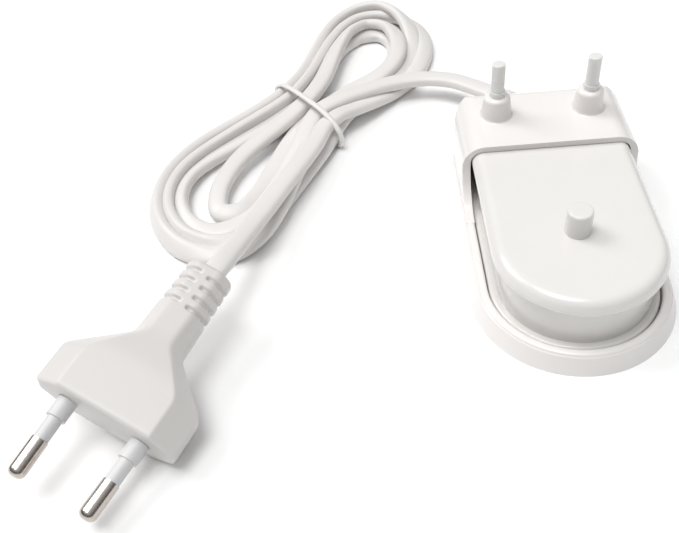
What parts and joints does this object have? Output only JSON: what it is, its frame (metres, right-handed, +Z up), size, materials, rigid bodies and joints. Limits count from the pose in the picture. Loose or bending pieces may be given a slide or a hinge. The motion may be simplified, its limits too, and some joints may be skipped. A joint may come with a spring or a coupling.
{
  "type": "inductive toothbrush charger with brush-head holder and mains lead",
  "caption": "White inductive toothbrush charger standing in a lift-off two-peg brush-head holder, with a flat mains lead tied in a hank and a moulded flat mains plug.",
  "frame": {"origin": "on the surface it stands on, at the middle of the holder's footprint", "axes": "+Z up; +Y towards the back, where the lead leaves the charger; the charger's round end faces -Y; +X to the right seen from the round end"},
  "size_m": [0.1524, 0.2026, 0.0374],
  "materials": {
    "housing_white": "glossy moulded warm white",
    "holder_white": "glossy moulded warm white",
    "peg_white": "glossy light grey white",
    "lead_white": "satin soft vinyl",
    "plug_white": "satin moulded vinyl",
    "sleeve_white": "glossy pin sleeve",
    "tie_white": "vinyl coated wire",
    "pin_metal": "nickel plated brass",
    "bare_brass": "plain",
    "copper_wire": "enamelled copper",
    "tinned_metal": "solder tinned",
    "ferrite": "sintered",
    "bobbin_black": "moulded",
    "board_tan": "phenolic paper laminate",
    "cap_sleeve": "shrink sleeve",
    "film_red": "dipped film capacitor",
    "epoxy_black": "moulded epoxy",
    "resistor_green": "flameproof lacquer",
    "resistor_tan": "lacquer",
    "wire_brown": "wire insulation"
  },
  "bodies": {
    "charger": {"charger_housing": "housing_white", "bottom_cover": "housing_white", "ferrite_core": "ferrite", "coil_bobbin": "bobbin_black", "primary_winding": "copper_wire", "feedback_winding": "copper_wire", "bobbin_pins": "tinned_metal", "circuit_board": "board_tan", "smoothing_capacitor": "cap_sleeve", "resonance_capacitor": "film_red", "switching_transistor": "epoxy_black", "rectifier_diodes": "epoxy_black", "fuse_resistor": "resistor_green", "bias_resistors": "resistor_tan", "lead_wires": "wire_brown", "cord_strain_relief": "lead_white", "cord_lead": "lead_white", "cord_hank": "lead_white", "cord_tail": "lead_white", "cord_tie": "tie_white", "plug_body": "plug_white", "left_plug_pin": "pin_metal", "right_plug_pin": "pin_metal", "left_pin_sleeve": "sleeve_white", "right_pin_sleeve": "sleeve_white", "pin_bridge": "sleeve_white", "pin_crimps": "bare_brass", "plug_conductors": "wire_brown"},
    "holder": {"holder_frame": "holder_white", "left_brush_peg": "peg_white", "right_brush_peg": "peg_white"}
  },
  "joints": [
    {"name": "holder_lift", "type": "slide", "parent": "charger", "child": "holder", "axis": [0, 0, 1], "range_m": [0, 0.045]}
  ]
}
